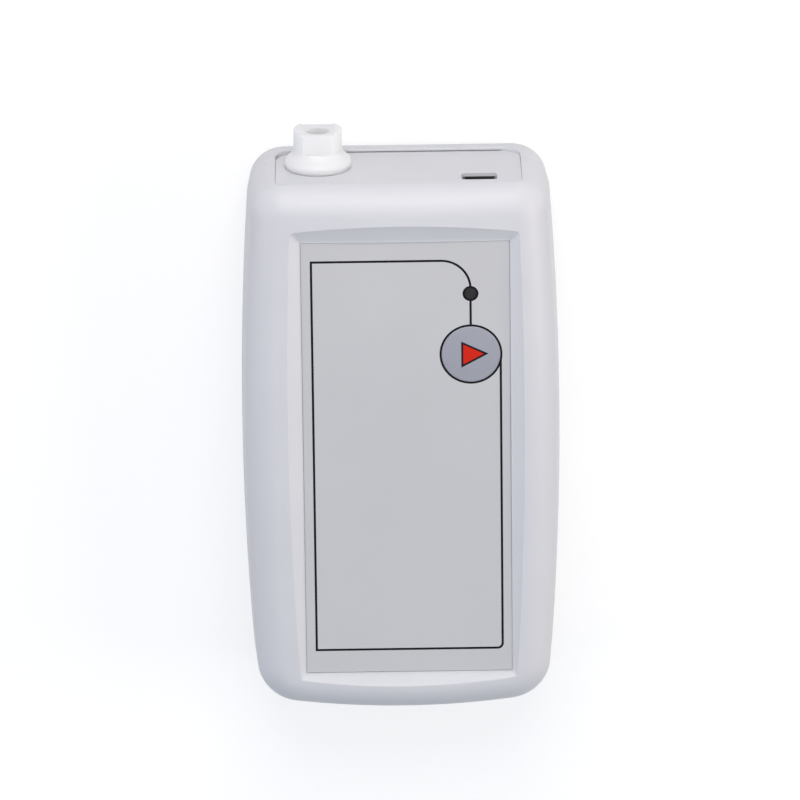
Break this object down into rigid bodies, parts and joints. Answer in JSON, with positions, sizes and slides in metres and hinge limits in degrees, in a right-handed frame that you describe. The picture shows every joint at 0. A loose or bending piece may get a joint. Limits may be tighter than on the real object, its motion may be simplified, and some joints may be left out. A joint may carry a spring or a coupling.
{
  "type": "ambulatory monitor recorder",
  "caption": "Pocket ambulatory monitor: pale rounded case with recessed label face, round start key, indicator window, top hose port, data socket and rear battery door.",
  "frame": {"origin": "centre of the flat rear face, midway along and across the case", "axes": "+Z out of the rear face towards the front label, +Y towards the end with the hose port, +X to the right when the label is seen with the hose port up"},
  "size_m": [0.07, 0.1318, 0.033],
  "materials": {
    "shell": "fine satin grain, pale cool grey",
    "label": "silk matte printed film, light grey",
    "key": "satin bluish grey",
    "dark_plastic": "satin black",
    "smoked_window": "polished dark window",
    "white_nylon": "natural nylon, slightly cloudy",
    "black_rubber": "matte",
    "orange_silicone": "matte",
    "clear_silicone": "cloudy silicone",
    "zinc_steel": "zinc plated",
    "nickel_steel": "nickel plated",
    "shaft_steel": "ground",
    "circuit_board": "green solder mask",
    "led_resin": "diffused resin",
    "chip_resin": "moulded epoxy",
    "copper_winding": "enamelled copper",
    "cell_wrap": "plain printed sleeve"
  },
  "bodies": {
    "housing": {"front_cover": "shell", "rear_cover": "shell", "end_panel": "shell", "front_label": "label", "led_window": "smoked_window", "hose_port": "white_nylon", "port_gasket": "black_rubber", "port_nut": "zinc_steel", "main_board": "circuit_board", "usb_socket": "nickel_steel", "start_switch": "dark_plastic", "indicator_led": "led_resin", "processor_chip": "chip_resin", "memory_chip": "chip_resin", "clock_cell": "nickel_steel", "beeper": "dark_plastic", "pressure_sensor": "dark_plastic", "pump_motor": "zinc_steel", "pump_sleeve": "black_rubber", "pump_head": "white_nylon", "pump_diaphragm": "orange_silicone", "pump_valve_cover": "white_nylon", "pump_screws": "zinc_steel", "air_manifold": "white_nylon", "port_tube": "clear_silicone", "pump_tube": "clear_silicone", "valve_tube": "clear_silicone", "sensor_tube": "clear_silicone", "valve_frame": "zinc_steel", "valve_coil": "copper_winding", "valve_head": "white_nylon", "aa_cell_1": "cell_wrap", "aa_cell_2": "cell_wrap", "aa_cell_3": "cell_wrap", "aa_cell_4": "cell_wrap", "battery_springs": "nickel_steel", "battery_contacts": "nickel_steel", "case_screws": "zinc_steel", "board_screws": "zinc_steel"},
    "start_button": {"start_key": "key", "switch_plunger": "dark_plastic"},
    "rear_door": {"battery_door": "shell"},
    "rotor": {"pump_rotor": "shaft_steel"},
    "plunger": {"valve_plunger": "shaft_steel"}
  },
  "joints": [
    {"name": "start_press", "type": "slide", "parent": "housing", "child": "start_button", "axis": [0, 0, -1], "range_m": [0, 0.00045], "stiffness_N_per_m": 1500},
    {"name": "door_slide", "type": "slide", "parent": "housing", "child": "rear_door", "axis": [0, -1, 0], "range_m": [0, 0.008]},
    {"name": "rotor_spin", "type": "hinge", "parent": "housing", "child": "rotor", "pos_m": [-0.0145, 0.031, 0.014], "axis": [0, 1, 0], "continuous": true},
    {"name": "valve_stroke", "type": "slide", "parent": "housing", "child": "plunger", "axis": [0, -1, 0], "range_m": [0, 0.0008], "stiffness_N_per_m": 400}
  ]
}
